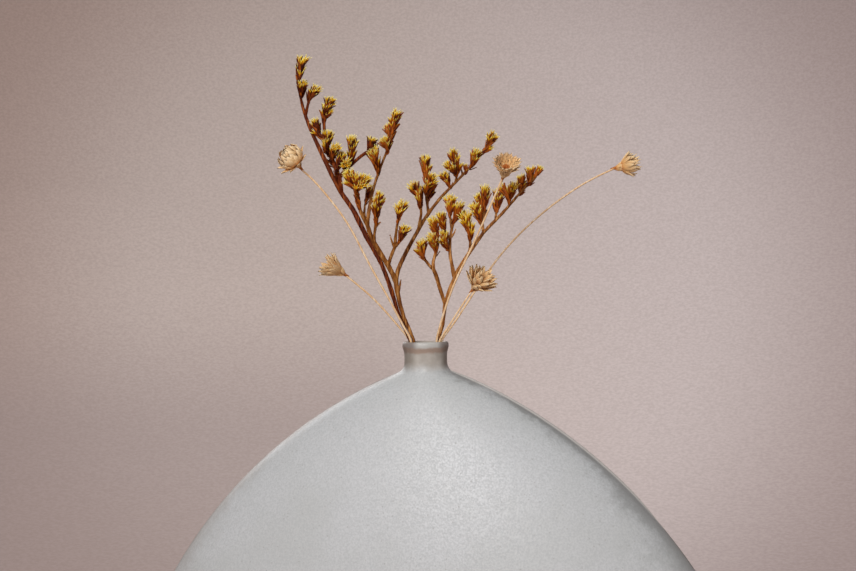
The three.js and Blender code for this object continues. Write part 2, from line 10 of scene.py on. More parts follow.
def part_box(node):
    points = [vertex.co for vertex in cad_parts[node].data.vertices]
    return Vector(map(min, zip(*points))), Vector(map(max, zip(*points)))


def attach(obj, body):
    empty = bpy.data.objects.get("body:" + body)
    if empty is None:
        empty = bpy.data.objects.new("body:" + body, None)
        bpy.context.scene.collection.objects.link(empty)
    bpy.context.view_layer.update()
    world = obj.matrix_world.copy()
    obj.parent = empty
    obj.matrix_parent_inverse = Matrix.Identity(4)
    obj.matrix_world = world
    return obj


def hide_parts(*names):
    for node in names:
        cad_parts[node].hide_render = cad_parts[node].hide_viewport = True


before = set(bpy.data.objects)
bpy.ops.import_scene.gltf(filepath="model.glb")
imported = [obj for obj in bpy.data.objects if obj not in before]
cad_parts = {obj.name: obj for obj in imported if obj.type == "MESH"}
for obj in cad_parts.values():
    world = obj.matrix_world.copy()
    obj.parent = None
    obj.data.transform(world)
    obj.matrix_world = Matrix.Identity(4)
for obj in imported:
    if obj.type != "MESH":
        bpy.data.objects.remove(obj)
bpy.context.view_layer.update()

MM = 0.001
BODY = "root"
RIM_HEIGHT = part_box("vase")[1].z
VIEW_TURN = math.radians(15.3)
ACROSS = Vector((math.cos(VIEW_TURN), math.sin(VIEW_TURN), 0))
AWAY = Vector((-math.sin(VIEW_TURN), math.cos(VIEW_TURN), 0))
UP = Vector((0, 0, 1))
GOLDEN_ANGLE = math.radians(137.5)
TINY = 1e-6


# ------------ hand tools

def kept_within(value, low, high):
    return min(high, max(low, value))


def only(piece):
    bpy.ops.object.select_all(action="DESELECT")
    piece.select_set(True)
    bpy.context.view_layer.objects.active = piece


def start_edit(piece):
    only(piece)
    bpy.ops.object.mode_set(mode="EDIT")


def end_edit():
    bpy.ops.object.mode_set(mode="OBJECT")


def pick(piece, faces=None, edges=None, verts=None):
    """Selects the faces, edges or vertices that pass a test, and nothing else."""
    mode = "FACE" if faces else "EDGE" if edges else "VERT"
    bpy.ops.mesh.select_mode(type=mode)
    bpy.ops.mesh.select_all(action="DESELECT")
    mesh = bmesh.from_edit_mesh(piece.data)
    layer, test = {
        "FACE": (mesh.faces, faces), "EDGE": (mesh.edges, edges), "VERT": (mesh.verts, verts)}[mode]
    for item in layer:
        if test(item):
            item.select_set(True)
    mesh.select_flush_mode()
    bmesh.update_edit_mesh(piece.data)


def raise_cap(levels):
    """Extrudes the selected cap from level to level: (half-width, half-depth, middle)."""
    for (width, depth, middle), (next_width, next_depth, next_middle) in zip(levels, levels[1:]):
        bpy.ops.mesh.extrude_region_move(TRANSFORM_OT_translate={"value": next_middle - middle})
        bpy.ops.transform.resize(
            value=(next_width / width, next_depth / depth, 1), center_override=next_middle)


def new_disc(name, sides, first_level):
    """A flat disc of the first level's size, left in edit mode with its face selected."""
    width, depth, middle = first_level
    bpy.ops.object.select_all(action="DESELECT")
    bpy.ops.mesh.primitive_circle_add(vertices=sides, radius=1, fill_type="NGON", location=middle)
    piece = bpy.context.object
    piece.name = name
    bpy.ops.object.transform_apply(location=True)
    start_edit(piece)
    bpy.ops.mesh.select_all(action="SELECT")
    bpy.ops.transform.resize(value=(width, depth, 1), center_override=middle)
    return piece


def face_outwards():
    """Turns every face outwards, and leaves edit mode."""
    bpy.ops.mesh.select_all(action="SELECT")
    bpy.ops.mesh.normals_make_consistent(inside=False)
    end_edit()


def apply_modifier(piece, kind, **settings):
    only(piece)
    modifier = piece.modifiers.new(kind.lower(), kind)
    for key, value in settings.items():
        setattr(modifier, key, value)
    bpy.ops.object.modifier_apply(modifier=modifier.name)


def join_as(name, parts):
    bpy.ops.object.select_all(action="DESELECT")
    for part in parts:
        part.select_set(True)
    bpy.context.view_layer.objects.active = parts[0]
    bpy.ops.object.join()
    parts[0].name = name
    return parts[0]


def finish_piece(piece, slot, *nodes):
    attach(piece, BODY)
    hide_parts(*nodes)


# ------------ materials

class Finish:
    """A procedural material under construction, read from Object coordinates or a UV map."""

    def __init__(self, name, **settings):
        self.material = bpy.data.materials.new(name)
        self.material.use_nodes = True
        self.tree = self.material.node_tree
        self.shader = self.tree.nodes["Principled BSDF"]
        for key, value in settings.items():
            self.shader.inputs[key.replace("_", " ")].default_value = value
        self.place = self.tree.nodes.new("ShaderNodeTexCoord")

    def feed(self, socket, value):
        if isinstance(value, bpy.types.NodeSocket):
            self.tree.links.new(value, socket)
        else:
            socket.default_value = value

    def node(self, kind, inputs, **settings):
        made = self.tree.nodes.new(kind)
        for key, value in settings.items():
            setattr(made, key, value)
        for key, value in inputs.items():
            self.feed(made.inputs[key], value)
        return made

    def mapped(self, scale=(1, 1, 1), source="Object", turn=0.0):
        """Coordinates scaled, and turned about the upright axis."""
        return self.node("ShaderNodeMapping", {
            "Vector": self.place.outputs[source], "Scale": scale, "Rotation": (0, 0, turn)
        }).outputs["Vector"]

    def parts_of(self, vector):
        return self.node("ShaderNodeSeparateXYZ", {0: vector}).outputs[:3]

    def uv(self):
        return self.parts_of(self.place.outputs["UV"])[:2]

    def noise(self, vector, scale, detail=3.0, roughness=0.55):
        return self.node("ShaderNodeTexNoise", {
            "Vector": vector, "Scale": scale, "Detail": detail, "Roughness": roughness
        }).outputs["Fac"]

    def spots(self, vector, scale):
        """The distance to the nearest of scattered spots, and that spot's own chance number."""
        made = self.node("ShaderNodeTexVoronoi", {"Vector": vector, "Scale": scale})
        return made.outputs["Distance"], self.parts_of(made.outputs["Color"])[0]

    def math(self, operation, first, second=0.0):
        return self.node(
            "ShaderNodeMath", {0: first, 1: second}, operation=operation).outputs[0]

    def plus(self, first, second):
        return self.math("ADD", first, second)

    def minus(self, first, second):
        return self.math("SUBTRACT", first, second)

    def times(self, first, second):
        return self.math("MULTIPLY", first, second)

    def over(self, first, second):
        return self.math("DIVIDE", first, second)

    def distance(self, first, second):
        return self.math("SQRT", self.plus(self.times(first, first), self.times(second, second)))

    def wavering(self, noise, reach):
        """Noise moved to lie evenly about nought, over the given reach."""
        return self.times(self.minus(noise, 0.5), reach)

    def between(self, value, low, high, to_low=0.0, to_high=1.0):
        """Eases from to_low to to_high as value goes from low to high."""
        return self.node(
            "ShaderNodeMapRange", {0: value, 1: low, 2: high, 3: to_low, 4: to_high},
            interpolation_type="SMOOTHSTEP", clamp=True).outputs[0]

    def fading(self, value, low, high, most=1.0):
        """Eases from most down to nought as value goes from low to high."""
        return self.between(value, low, high, most, 0.0)

    def mix(self, amount, first, second):
        return self.node("ShaderNodeMix", {"Factor": amount, 6: first, 7: second},
                         data_type="RGBA").outputs[2]

    def ramp(self, value, *stops):
        made = self.node("ShaderNodeValToRGB", {0: value})
        elements = made.color_ramp.elements
        while len(elements) < len(stops):
            elements.new(0.5)
        for element, (position, colour) in zip(elements, stops):
            element.position = position
            element.color = colour
        return made.outputs[0]

    def paint(self, colour):
        self.feed(self.shader.inputs["Base Color"], colour)

    def rough(self, value):
        self.feed(self.shader.inputs["Roughness"], value)

    def relief(self, height, strength, distance):
        bump = self.node(
            "ShaderNodeBump", {"Height": height, "Strength": strength, "Distance": distance})
        self.feed(self.shader.inputs["Normal"], bump.outputs[0])


def tint(red, green, blue):
    """A colour given as 0 to 255 display values, as the scene-linear colour shaders use."""
    def linear(value):
        value /= 255
        return value / 12.92 if value <= 0.04045 else ((value + 0.055) / 1.055) ** 2.4
    return (linear(red), linear(green), linear(blue), 1.0)


def below_rim(depth):
    """The height of a point that many mm below the vase's rim."""
    return RIM_HEIGHT - depth * MM


# The glaze's specks: scale of their pattern, share of its cells left bare, radius, darkness.
SPECKS = ((430.0, 0.60, 0.20, 0.26), (150.0, 0.88, 0.085, 0.42))


def speckled_glaze():
    """Matt grey glaze with fine specks, darker beside the seams and on the neck, partly by painted
    shade.
    """
    finish = Finish("speckled_grey_glaze", Roughness=0.45, Specular_IOR_Level=0.5)
    place = finish.mapped()
    cloud = finish.noise(place, 24.0, 4.0)
    grain = finish.noise(place, 1150.0, 2.0, 0.6)
    body = finish.mix(finish.between(cloud, 0.35, 0.65), tint(193, 196, 196), tint(200, 203, 205))
    body = finish.mix(finish.between(grain, 0.32, 0.68, 0.0, 0.62), body, tint(175, 179, 180))
    for scale, bare, radius, darkness in SPECKS:
        off_spot, chance = finish.spots(place, scale)
        speck = finish.times(finish.fading(off_spot, radius * 0.5, radius),
                             finish.between(chance, bare, bare + 0.03, 0.0, darkness))
        body = finish.mix(speck, body, tint(120, 114, 106))
    body = glaze_by_seams(finish, place, body)
    body = glaze_on_neck(finish, place, body)
    finish.paint(body)
    finish.rough(finish.between(grain, 0.3, 0.7, 0.38, 0.52))
    finish.relief(finish.noise(place, 520.0, 3.0, 0.6), 0.3, 0.3 * MM)
    return finish.material


def glaze_by_seams(finish, place, body):
    """A mottled dark grey beside the right seam, and faintly by the left: partly glaze gathered
    thick there, partly painted shade where the narrow sides turn from the light.
    """
    x, y, z = finish.parts_of(place)
    off_seam = finish.math("ABSOLUTE", y)
    mottle = finish.wavering(finish.noise(place, 300.0, 4.0, 0.75), 16 * MM)
    drift = finish.wavering(finish.noise(place, 80.0, 2.0), 14 * MM)
    ragged = finish.plus(off_seam, finish.plus(mottle, drift))
    on_body = finish.fading(z, below_rim(15.0), below_rim(12.5))
    on_right = finish.times(on_body, finish.between(x, 2 * MM, 8 * MM))
    on_left = finish.times(on_body, finish.fading(x, -20 * MM, -8 * MM))

    # The dark band, from the glaze and painted shade together, is wider lower down.
    band_width = finish.between(z, 0.17, 0.275, 24.5 * MM, 10.0 * MM)
    off_band = finish.over(ragged, band_width)
    glaze_and_shade_band = finish.fading(off_band, 0.25, 0.9)
    body = finish.mix(finish.times(glaze_and_shade_band, finish.times(on_right, 0.50)), body, tint(140, 142, 141))
    body = finish.mix(finish.times(glaze_and_shade_band, finish.times(on_left, 0.42)), body, tint(148, 139, 130))
    # Painted shadow in the crease beside the right seam, deepest next to it and higher up.
    crease_shadow = finish.times(finish.fading(off_band, 0.15, 0.60), on_right)
    depth = finish.between(z, 0.17, 0.235, 0.14, 0.42)
    body = finish.mix(finish.times(crease_shadow, depth), body, tint(132, 133, 131))

    # Painted shade: a soft dark stripe along the left seam, where the left contour is seen, fading
    # out towards the foot.
    left_seam_shade = finish.times(finish.fading(off_seam, 2.8 * MM, 8.8 * MM, 0.7), on_left)
    left_seam_shade = finish.times(left_seam_shade, finish.between(z, 0.08, 0.17))
    body = finish.mix(left_seam_shade, body, tint(100, 88, 80))
    crest = finish.times(finish.fading(off_seam, 0.5 * MM, 1.0 * MM, 0.9), on_right)
    crest = finish.times(crest, finish.between(z, 0.198, 0.214))
    body = finish.mix(crest, body, tint(176, 172, 167))
    # Painted shade on the back side of the right seam's crest, a thin dark outer line.
    behind = finish.times(finish.between(y, -0.3 * MM, 0.1 * MM, 0.0, 0.75), on_right)
    behind = finish.times(behind, finish.fading(off_seam, 1.4 * MM, 3.0 * MM))
    return finish.mix(behind, body, tint(104, 96, 90))


def glaze_on_neck(finish, place, body):
    """The neck's thinner glaze is warmer and darker, and breaks brown under the lip; painted shade
    darkens the neck's flanks and the lip's corners as the viewer sees them.
    """
    x, y, z = finish.parts_of(place)
    across, _, _ = finish.parts_of(finish.mapped(turn=-VIEW_TURN))
    height = finish.plus(z, finish.wavering(finish.noise(place, 130.0), 4 * MM))
    cloud = finish.noise(place, 190.0, 3.0)
    neck = finish.mix(finish.between(cloud, 0.3, 0.7), tint(167, 161, 152), tint(186, 181, 173))
    # Painted shade on the neck's two flanks as the viewer sees them, broken up by streaks.
    shaded_flanks = finish.plus(finish.between(across, 6.4 * MM, 8.8 * MM, 0.0, 0.66),
                        finish.fading(across, -9.5 * MM, -3.5 * MM, 0.62))
    streaks = finish.noise(finish.mapped((260, 260, 60)), 1.0, 2.0)
    shaded_flanks = finish.times(shaded_flanks, finish.between(streaks, 0.25, 0.6, 0.7, 1.0))
    neck = finish.mix(shaded_flanks, neck, tint(104, 94, 82))
    body = finish.mix(finish.between(height, below_rim(15), below_rim(9)), body, neck)
    # Under the lip the brown is darker still on the flanks, by the same painted shade.
    brown = finish.mix(shaded_flanks, tint(163, 144, 130), tint(100, 85, 77))
    body = finish.mix(finish.between(height, below_rim(5.6), below_rim(4.2)), body, brown)
    # Painted shade at the lip's corners as the viewer sees them.
    corner = finish.plus(finish.fading(across, -6.5 * MM, -3.0 * MM, 0.9),
                         finish.between(across, 5.0 * MM, 8.0 * MM, 0.0, 0.8))
    lip = finish.mix(corner, tint(188, 187, 182), tint(130, 120, 115))
    body = finish.mix(finish.between(height, below_rim(3.0), below_rim(1.8)), body, lip)
    in_bore = finish.times(finish.fading(finish.distance(x, y), 9.2 * MM, 9.8 * MM),
                           finish.between(z, below_rim(20), below_rim(10)))
    return finish.mix(in_bore, body, tint(176, 166, 156))


def bare_stoneware():
    finish = Finish("bare_stoneware", Roughness=0.85, Specular_IOR_Level=0.3)
    grit = finish.noise(finish.mapped(), 900.0, 4.0, 0.7)
    finish.paint(finish.mix(grit, tint(150, 122, 98), tint(196, 172, 148)))
    finish.relief(grit, 0.5, 0.4 * MM)
    return finish.material


def stalk_wood(name, dark, middle, light):
    """Dried woody stalk with streaks that run along it."""
    finish = Finish(name, Roughness=0.6, Specular_IOR_Level=0.16)
    streaks = finish.noise(finish.mapped((1100, 1100, 120)), 1.0, 3.0)
    patches = finish.noise(finish.mapped((90, 90, 40)), 1.0, 2.0)
    colour = finish.ramp(streaks, (0.38, dark), (0.54, middle), (0.72, light))
    finish.paint(finish.mix(finish.between(patches, 0.35, 0.7, 0.0, 0.5), colour, middle))
    finish.relief(streaks, 0.5, 0.3 * MM)
    return finish.material


def calyx_cloth():
    """Papery statice calyx: brown tube, golden throat, pale points. U is its own tone."""
    finish = Finish("statice_calyx", Roughness=0.75, Specular_IOR_Level=0.12)
    tone, along = finish.uv()
    grain = finish.noise(finish.mapped(), 1000.0, 3.0)
    along = finish.plus(along, finish.wavering(grain, 0.14))
    colour = finish.ramp(
        along, (0.0, tint(74, 18, 0)), (0.40, tint(116, 44, 2)), (0.56, tint(170, 92, 6)),
        (0.68, tint(222, 162, 14)), (0.82, tint(242, 208, 58)), (0.95, tint(254, 246, 160)))
    browned = finish.mix(0.6, colour, tint(168, 92, 4))
    finish.paint(finish.mix(finish.between(tone, 0.4, 1.0, 0.0, 0.85), colour, browned))
    finish.relief(grain, 0.3, 0.2 * MM)
    return finish.material


def bract_skin():
    """Red-brown scale-like bract, paler along its dry tip. U is its own tone."""
    finish = Finish("statice_bract", Roughness=0.6, Specular_IOR_Level=0.16)
    tone, along = finish.uv()
    grain = finish.noise(finish.mapped(), 1100.0, 3.0)
    body = finish.ramp(
        tone, (0.0, tint(54, 9, 0)), (0.45, tint(92, 27, 2)), (1.0, tint(172, 88, 18)))
    body = finish.mix(finish.between(along, 0.82, 1.0, 0.0, 0.6), body, tint(200, 132, 46))
    finish.paint(finish.mix(finish.between(grain, 0.45, 0.75, 0.0, 0.35), body, tint(150, 76, 14)))
    finish.relief(grain, 0.4, 0.2 * MM)
    return finish.material


def straw_paper():
    """Pale papery bract with fine lengthwise fibres, orange-brown at its base. U runs across it."""
    finish = Finish("straw_bract", Roughness=0.6, Specular_IOR_Level=0.25, Sheen_Weight=0.35,
                    Sheen_Roughness=0.5, Sheen_Tint=tint(255, 236, 200))
    across, along = finish.uv()
    fibres = finish.noise(finish.mapped((14, 0.7, 1), "UV"), 1.0, 2.0)
    body = finish.ramp(
        along, (0.0, tint(200, 108, 46)), (0.14, tint(214, 136, 70)), (0.34, tint(230, 178, 114)),
        (0.8, tint(240, 202, 148)), (1.0, tint(248, 222, 180)))
    off_middle = finish.math("ABSOLUTE", finish.minus(finish.math("FRACT", across), 0.5))
    edge = finish.between(off_middle, 0.38, 0.5, 0.0, 0.35)
    body = finish.mix(edge, body, tint(172, 112, 60))
    finish.paint(finish.mix(finish.between(fibres, 0.5, 0.72, 0.0, 0.35), body, tint(190, 132, 78)))
    finish.relief(fibres, 0.4, 0.2 * MM)
    return finish.material


def straw_heart():
    """The rough orange-brown middle and foot of a straw flower."""
    finish = Finish("straw_heart", Roughness=0.8, Specular_IOR_Level=0.15)
    grain = finish.between(finish.noise(finish.mapped(), 1500.0, 3.0), 0.35, 0.65)
    finish.paint(finish.mix(grain, tint(160, 88, 38), tint(202, 130, 70)))
    return finish.material


def studio_paper():
    """Paper with a fine mottle, and painted light: a soft patch of light on the side behind the
    piece, shade round it, and deeper painted shade low on the left.
    """
    finish = Finish("studio_paper", Roughness=0.95, Specular_IOR_Level=0.1)
    across, away, up = finish.parts_of(finish.mapped(turn=-VIEW_TURN))
    away = finish.plus(away, POOL_DISTANCE)
    across = finish.minus(across, POOL_OFFSET)
    far = finish.math("MAXIMUM", finish.math("ABSOLUTE", away), POOL_DISTANCE)
    to_right = finish.between(finish.over(across, far), -0.12, 0.2)
    depth = finish.math("MAXIMUM", away, 1 * MM)
    across = finish.over(across, depth)
    up = finish.over(finish.minus(up, POOL_HEIGHT), depth)
    # Painted light: pale within the soft patch, shading off round it, both a little cooler to the
    # right.
    pale = finish.mix(to_right, tint(191, 177, 171), tint(196, 184, 182))
    shade = finish.mix(to_right, tint(174, 153, 145), tint(172, 156, 153))
    base = finish.mix(finish.between(finish.distance(across, up), 0.18, 0.36), pale, shade)
    # Painted shade, deeper low on the left beside the piece.
    painted_low_left_shade = finish.times(
        finish.fading(across, -0.05, 0.03, 0.62), finish.fading(up, -0.11, 0.01))
    base = finish.mix(painted_low_left_shade, base, tint(152, 138, 136))
    mottle = finish.noise(finish.mapped(), 210.0, 3.0, 0.6)
    finish.paint(finish.mix(finish.between(mottle, 0.3, 0.7, 0.0, 0.22), base, tint(120, 104, 98)))
    return finish.material


# ------------ camera

def place_camera():
    """The viewer stands square to the bunch, a little above the rim, head slightly tilted."""
    roll = math.radians(0.83)
    side = ACROSS * math.cos(roll) - UP * math.sin(roll)
    top = ACROSS * math.sin(roll) + UP * math.cos(roll)
    turn = Matrix((side, top, -AWAY)).transposed()
    spot = ACROSS * 0.00153 - AWAY * 0.6613 + UP * (RIM_HEIGHT + 0.0259)
    bpy.ops.object.camera_add(location=spot, rotation=turn.to_euler())
    camera = bpy.context.object
    camera.name = "view"
    camera.data.lens = 60
    camera.data.sensor_width = 36
    camera.data.clip_start = 0.05
    bpy.context.scene.camera = camera


place_camera()


# ------------ studio

STUDIO_RADIUS = 2.4
STUDIO_SIDES = 96
COVE_RADIUS = 1.7
COVE_STEPS = 12
WALL_HEIGHT = 2.6
# The paper's pool of light is laid out as seen from this far before the piece and this high,
# and it lies this far to the right.
POOL_DISTANCE = 0.66
POOL_HEIGHT = 0.316
POOL_OFFSET = 0.01


def build_studio():
    """A round paper room: a pale floor that curves up into its wall."""
    flat = STUDIO_RADIUS - COVE_RADIUS
    levels = [(flat, flat, Vector((0, 0, 0)))]
    for step in range(1, COVE_STEPS + 1):
        angle = math.radians(90 * step / COVE_STEPS)
        reach = flat + COVE_RADIUS * math.sin(angle)
        levels.append((reach, reach, Vector((0, 0, COVE_RADIUS * (1 - math.cos(angle))))))
    levels.append((STUDIO_RADIUS, STUDIO_RADIUS, Vector((0, 0, WALL_HEIGHT))))
    room = new_disc("studio_paper_room", STUDIO_SIDES, levels[0])
    raise_cap(levels)
    bpy.ops.mesh.delete(type="ONLY_FACE")
    bpy.ops.mesh.select_all(action="SELECT")
    bpy.ops.mesh.normals_make_consistent(inside=True)
    end_edit()
    bpy.ops.object.shade_smooth()
    room.data.materials.append(studio_paper())


def soft_light(name, spot, target, size, power, spread=180):
    """A round lamp of that size in metres and power in watts, spreading so many degrees."""
    aim = (target - spot).to_track_quat("-Z", "Y")
    bpy.ops.object.light_add(type="AREA", location=spot, rotation=aim.to_euler())
    lamp = bpy.context.object
    lamp.name = name
    lamp.data.shape = "DISK"
    lamp.data.size = size
    lamp.data.energy = power
    lamp.data.spread = math.radians(spread)
    lamp.visible_camera = False


def light_studio():
    middle = UP * 0.26
    soft_light("key", -AWAY * 1.4 - ACROSS * 0.5 + UP * 0.98, middle, 0.8, 18.0, 170)
    soft_light("fill", -AWAY * 0.9 + ACROSS * 1.5 + UP * 0.7, middle, 1.2, 2.6)
    soft_light("back_fill", AWAY * 1.5 - ACROSS * 0.7 + UP * 1.0, middle, 1.2, 2.7, 90)
    soft_light("paper_glow", AWAY * 0.9 + ACROSS * 0.1 + UP * 1.2,
               AWAY * STUDIO_RADIUS + ACROSS * 0.03 - UP * 0.04, 0.9, 10)
    world = bpy.data.worlds.new("soft_room_light")
    world.use_nodes = True
    background = world.node_tree.nodes["Background"]
    background.inputs["Color"].default_value = (1.0, 0.99, 0.98, 1)
    background.inputs["Strength"].default_value = 0.39
    bpy.context.scene.world = world
    bpy.context.scene.view_settings.view_transform = "Standard"


build_studio()
light_studio()


# ------------ vase

WALL = 5 * MM
FLOOR = 6 * MM
# An arc is its middle's distance from the axis, its middle's height, and its radius.
SHOULDER_ARC = (-73 * MM, 57 * MM, 235 * MM)
MEETING = math.radians(25)
BELLY_RADIUS = 115 * MM
BELLY_ARC = (
    SHOULDER_ARC[0] + (SHOULDER_ARC[2] - BELLY_RADIUS) * math.cos(MEETING),
    SHOULDER_ARC[1] + (SHOULDER_ARC[2] - BELLY_RADIUS) * math.sin(MEETING),
    BELLY_RADIUS)
HALF_WIDTH = BELLY_ARC[0] + BELLY_RADIUS
HALF_DEPTH = 45 * MM
NECK = 9.9 * MM
NECK_FILLET = 5 * MM
BORE = 8 * MM
VASE_SIDES = 96
# The foot's rounded edge, as distances inwards and upwards.
FOOT_EDGE = ((1.4 * MM, 0), (0.5 * MM, 0.35 * MM))
SEAM_HEIGHT = 1.0 * MM
# Shares: of the faces beside the seam that its strip takes, and of the seam's height that
# the left one has.
SEAM_STRIP = 0.25
LEFT_SEAM_SHARE = 0.23
# Where the seam rises and where the right one dies away, as shares of the way outwards.
SEAM_RISE = (0.0, 0.04)
RIGHT_SEAM_FALL = (0.6, 0.72)
# The lip's profile from the neck over into the bore: radius, and height from the rim, in mm.
LIP_PROFILE = (
    (9.9, -6.2), (10.0, -5.0), (10.28, -4.0), (10.6, -3.0), (10.75, -2.0), (10.74, -1.2),
    (10.55, -0.55), (10.2, -0.15), (9.75, 0), (9.3, -0.12), (8.85, -0.5), (8.4, -1.2), (8.1, -2.4))


def arc_points(arc, start, stop, steps):
    """Half-width and height along an arc, angles measured up from straight outwards."""
    middle, height, radius = arc
    angles = [start + (stop - start) * step / steps for step in range(steps + 1)]
    return [(middle + radius * math.cos(angle), height + radius * math.sin(angle))
            for angle in angles]


def level_at(half_width, height, neck=NECK, inset=0.0):
    """The body's depth grows in step with its width, and the neck is round."""
    depth = half_width
    if half_width > neck:
        spread = (half_width - neck) / (HALF_WIDTH - inset - neck)
        depth = neck + spread * (HALF_DEPTH - inset - neck)
    return (half_width, depth, Vector((0, 0, height)))


def outside_levels():
    foot_angle = math.asin(-BELLY_ARC[1] / BELLY_RADIUS)
    fillet_x = NECK + NECK_FILLET
    reach = SHOULDER_ARC[2] + NECK_FILLET
    fillet_angle = math.acos((fillet_x - SHOULDER_ARC[0]) / reach)
    fillet = (fillet_x, SHOULDER_ARC[1] + reach * math.sin(fillet_angle), NECK_FILLET)
    body = arc_points(BELLY_ARC, foot_angle, MEETING, 30)
    foot_x = body[0][0]
    outline = [(foot_x - inwards, height) for inwards, height in FOOT_EDGE] + body[1:]
    outline += arc_points(SHOULDER_ARC, MEETING, fillet_angle, 24)[1:-1]
    outline += arc_points(fillet, fillet_angle + math.pi, math.pi, 5)
    return [level_at(x, z) for x, z in outline]


def inside_levels():
    shoulder = (SHOULDER_ARC[0], SHOULDER_ARC[1], SHOULDER_ARC[2] - WALL)
    belly = (BELLY_ARC[0], BELLY_ARC[1], BELLY_RADIUS - WALL)
    throat_x = BORE + 2 * MM
    throat_angle = math.acos((throat_x - shoulder[0]) / shoulder[2])
    throat_z = shoulder[1] + shoulder[2] * math.sin(throat_angle)
    floor_angle = math.asin((FLOOR - belly[1]) / belly[2])
    outline = [(BORE, RIM_HEIGHT - 5 * MM), (BORE, throat_z + 2 * MM)]
    outline += arc_points(shoulder, throat_angle, MEETING, 14)
    outline += arc_points(belly, MEETING, floor_angle, 14)[1:]
    return [level_at(x, z, BORE, WALL) for x, z in outline]


def eased(value, low, high):
    share = kept_within((value - low) / (high - low), 0.0, 1.0)
    return share * share * (3 - 2 * share)


def seam_share(x):
    """How high the seam stands: low on the left, and dying away lower down on the right."""
    spread = (abs(x) - NECK) / (HALF_WIDTH - NECK)
    share = LEFT_SEAM_SHARE if x < 0 else 1 - eased(spread, *RIGHT_SEAM_FALL)
    return share * eased(spread, *SEAM_RISE)


def build_vase():
    outside = outside_levels()
    vase = new_disc("glazed_bottle_vase", VASE_SIDES, outside[0])
    raise_cap(outside)

    # The raised seam runs down both narrow sides.
    pick(vase, edges=lambda edge: all(
        abs(v.co.y) < TINY and abs(v.co.x) > NECK * 1.1 and v.co.z > 1 * MM for v in edge.verts))
    bpy.ops.mesh.bevel(
        offset_type="PERCENT", offset_pct=100 * SEAM_STRIP, segments=4, affect="EDGES")
    end_edit()
    seam = vase.vertex_groups.new(name="seam")
    for vert in vase.data.vertices:
        x, y, z = vert.co
        width = level_at(abs(x), z)[1] * math.tau / VASE_SIDES * SEAM_STRIP
        if abs(x) > NECK * 1.15 and abs(y) < width * 0.9 and 2 * MM < z < RIM_HEIGHT - 11 * MM:
            crest = 1.0 if abs(y) < width * 0.2 else 0.75
            seam.add([vert.index], crest * seam_share(x), "REPLACE")
    apply_modifier(vase, "DISPLACE", vertex_group="seam", strength=SEAM_HEIGHT, mid_level=0)
    vase.vertex_groups.clear()

    # The rolled lip, the throat and the hollow inside.
    start_edit(vase)
    top = outside[-1][2].z
    pick(vase, faces=lambda face: (
        len(face.verts) > 8 and face.calc_center_median().z > top - 1 * MM))
    lip = [(r * MM, r * MM, Vector((0, 0, RIM_HEIGHT + z * MM))) for r, z in LIP_PROFILE]
    raise_cap([outside[-1]] + lip + inside_levels())
    face_outwards()
    apply_modifier(vase, "SUBSURF", levels=1, render_levels=1)
    bpy.ops.object.shade_smooth()
    vase.data.materials.append(speckled_glaze())
    vase.data.materials.append(bare_stoneware())
    # The foot's underside is left bare.
    for face in vase.data.polygons:
        if face.center.z < 1.2 * MM and face.normal.z < -0.3:
            face.material_index = 1
    finish_piece(vase, "glaze", "vase")


build_vase()


# ------------ stalks from the frame

def copy_of_node(node, name):
    """A loose copy of a CAD node's mesh, with its triangles welded together."""
    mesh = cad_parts[node].data.copy()
    mesh.materials.clear()
    piece = bpy.data.objects.new(name, mesh)
    bpy.context.scene.collection.objects.link(piece)
    start_edit(piece)
    bpy.ops.mesh.select_all(action="SELECT")
    bpy.ops.mesh.remove_doubles(threshold=TINY)
    end_edit()
    return piece


WOOD_TONES = {
    "left": (tint(60, 14, 0), tint(108, 42, 2), tint(196, 108, 40)),
    "middle": (tint(86, 42, 10), tint(142, 88, 34), tint(216, 162, 96)),
    "right": (tint(96, 52, 16), tint(160, 102, 46), tint(224, 170, 106)),
}
WOOD_GRAIN = 0.28 * MM
KNOT_SIZE = 4 * MM
KNOT_HEIGHT = 0.35 * MM
# How much a sprig's wood is thickened: (height above the rim, thickening), both in mm.
SLIGHTLY = ((0, 0), (25, 0.36), (45, 0.36), (74, 0.13))
THICKENING = {"left": ((0, 0), (25, 0.34), (40, 0.36), (55, 0.62), (85, 0.52), (115, 0.22)),
              "middle": SLIGHTLY, "right": SLIGHTLY}


def between_stages(stages, height):
    """The value at a height, from a table of (height, value) with even slopes between."""
    for (low, first), (high, last) in zip(stages, stages[1:]):
        if height < high:
            return first + (last - first) * max(0.0, height - low) / (high - low)
    return stages[-1][1]


def build_branch(side):
    """One grown sprig: its stem and twigs, rounded and made a little knotty."""
    node = f"statice_{side}_branch"
    branch = copy_of_node(node, f"{side}_sprig_wood")
    apply_modifier(branch, "REMESH", mode="VOXEL", voxel_size=WOOD_GRAIN, use_smooth_shade=True)
    above_rim = branch.vertex_groups.new(name="above_rim")
    for vert in branch.data.vertices:
        height = (vert.co.z - RIM_HEIGHT) / MM
        above_rim.add([vert.index], between_stages(THICKENING[side], height), "REPLACE")
    apply_modifier(branch, "DISPLACE", vertex_group="above_rim", strength=1 * MM, mid_level=0)
    branch.vertex_groups.clear()
    knots = bpy.data.textures.new(f"{side}_knots", "CLOUDS")
    knots.noise_scale = KNOT_SIZE
    apply_modifier(branch, "DISPLACE", texture=knots, texture_coords="GLOBAL",
                   strength=KNOT_HEIGHT, mid_level=0.45)
    apply_modifier(branch, "SMOOTH", factor=0.5, iterations=2)
    apply_modifier(branch, "DECIMATE", ratio=0.3)
    bpy.ops.object.shade_smooth()
    branch.data.materials.append(stalk_wood(f"{side}_sprig_wood", *WOOD_TONES[side]))
    finish_piece(branch, "dried_wood", node)
    return branch


